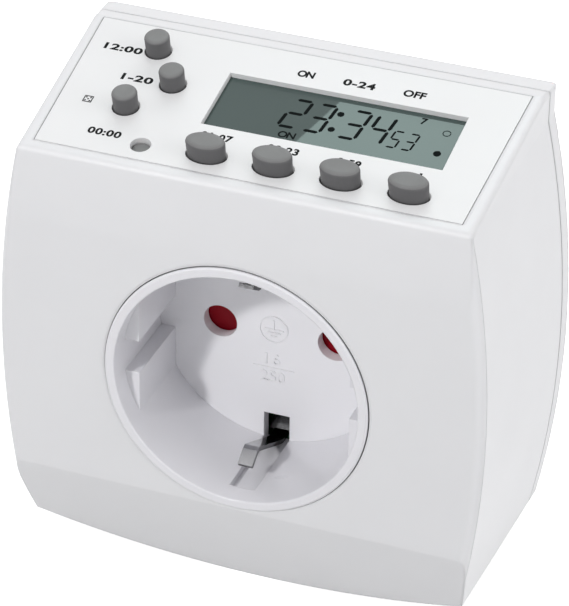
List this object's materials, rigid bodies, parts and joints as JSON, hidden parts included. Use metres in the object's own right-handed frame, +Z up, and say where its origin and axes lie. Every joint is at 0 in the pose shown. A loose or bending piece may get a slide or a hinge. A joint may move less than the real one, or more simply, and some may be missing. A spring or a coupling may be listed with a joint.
{
  "type": "plug-in timer switch",
  "caption": "Plug-in weekly timer switch: white barrel-sided housing with sloping control panel, display, grey keys and recessed earthed socket.",
  "frame": {"origin": "midway between the two plug pins, on the face of the plug that they stand out of", "axes": "+X to the right seen from the front, +Y towards the wall along the plug pins, +Z up"},
  "size_m": [0.0816, 0.0755, 0.0822],
  "materials": {
    "white_shell": "fine-grained white moulding",
    "panel_white": "smooth white moulding",
    "zinc_steel": "zinc-plated",
    "display_glass": "reflective display cell, clear glass over a grey-green film",
    "frame_grey": "moulded",
    "strip_rubber": "layered conductive rubber",
    "board_green": "solder-masked glass-fibre board",
    "switch_black": "moulded",
    "cell_steel": "nickel-plated",
    "cable_grey": "soft insulation",
    "key_grey": "satin moulding",
    "insert_white": "smooth moulding",
    "shutter_red": "smooth moulding",
    "spring_steel": "bright spring wire",
    "contact_brass": "stamped strip",
    "earth_metal": "bright nickel-plated strip",
    "pin_nickel": "nickel-plated brass",
    "relay_black": "moulded case",
    "capacitor_yellow": "moulded case",
    "capacitor_blue": "sleeved can",
    "varistor_blue": "dipped coating",
    "fuse_brown": "moulded case",
    "resistor_tan": "lacquered",
    "diode_black": "moulded"
  },
  "bodies": {
    "housing": {"front_shell": "white_shell", "rear_cover": "white_shell", "plug_body": "white_shell", "panel_plate": "panel_white", "housing_screws": "zinc_steel", "board_screws": "zinc_steel", "display_cell": "display_glass", "display_frame": "frame_grey", "contact_strips": "strip_rubber", "control_board": "board_green", "key_switches": "switch_black", "backup_battery": "cell_steel", "ribbon_cable": "cable_grey", "socket_insert": "insert_white", "socket_floor": "insert_white", "shutter_spring": "spring_steel", "shutter_washer": "spring_steel", "live_contact": "contact_brass", "neutral_contact": "contact_brass", "live_feed": "contact_brass", "earth_strap_upper": "earth_metal", "earth_strap_lower": "earth_metal", "earth_bridge": "earth_metal", "plug_pins": "pin_nickel", "main_board": "board_green", "relay": "relay_black", "mains_capacitor": "capacitor_yellow", "smoothing_capacitor": "capacitor_blue", "varistor": "varistor_blue", "fuse": "fuse_brown", "resistors": "resistor_tan", "diodes": "diode_black"},
    "key_clock": {"key_clock": "key_grey"},
    "key_program": {"key_program": "key_grey"},
    "key_random": {"key_random": "key_grey"},
    "key_reset": {"key_reset": "key_grey"},
    "key_day": {"key_day": "key_grey"},
    "key_hour": {"key_hour": "key_grey"},
    "key_minute": {"key_minute": "key_grey"},
    "key_mode": {"key_mode": "key_grey"},
    "shutter_disc": {"shutter": "shutter_red"}
  },
  "joints": [
    {"name": "press_clock", "type": "slide", "parent": "housing", "child": "key_clock", "axis": [0, 0.2215, -0.9751], "range_m": [0, 0.0008], "stiffness_N_per_m": 1500, "springref_m": -0.0003},
    {"name": "press_program", "type": "slide", "parent": "housing", "child": "key_program", "axis": [0, 0.2215, -0.9751], "range_m": [0, 0.0008], "stiffness_N_per_m": 1500, "springref_m": -0.0003},
    {"name": "press_random", "type": "slide", "parent": "housing", "child": "key_random", "axis": [0, 0.2215, -0.9751], "range_m": [0, 0.0008], "stiffness_N_per_m": 1500, "springref_m": -0.0003},
    {"name": "press_reset", "type": "slide", "parent": "housing", "child": "key_reset", "axis": [0, 0.2215, -0.9751], "range_m": [0, 0.0008], "stiffness_N_per_m": 1500, "springref_m": -0.0003},
    {"name": "press_day", "type": "slide", "parent": "housing", "child": "key_day", "axis": [0, 0.2215, -0.9751], "range_m": [0, 0.0008], "stiffness_N_per_m": 1500, "springref_m": -0.0003},
    {"name": "press_hour", "type": "slide", "parent": "housing", "child": "key_hour", "axis": [0, 0.2215, -0.9751], "range_m": [0, 0.0008], "stiffness_N_per_m": 1500, "springref_m": -0.0003},
    {"name": "press_minute", "type": "slide", "parent": "housing", "child": "key_minute", "axis": [0, 0.2215, -0.9751], "range_m": [0, 0.0008], "stiffness_N_per_m": 1500, "springref_m": -0.0003},
    {"name": "press_mode", "type": "slide", "parent": "housing", "child": "key_mode", "axis": [0, 0.2215, -0.9751], "range_m": [0, 0.0008], "stiffness_N_per_m": 1500, "springref_m": -0.0003},
    {"name": "shutter_turn", "type": "hinge", "parent": "housing", "child": "shutter_disc", "pos_m": [0, -0.036, 0], "axis": [0, 1, 0], "range_deg": [0, 42], "stiffness_Nm_per_rad": 0.01, "springref_deg": -11.46}
  ]
}
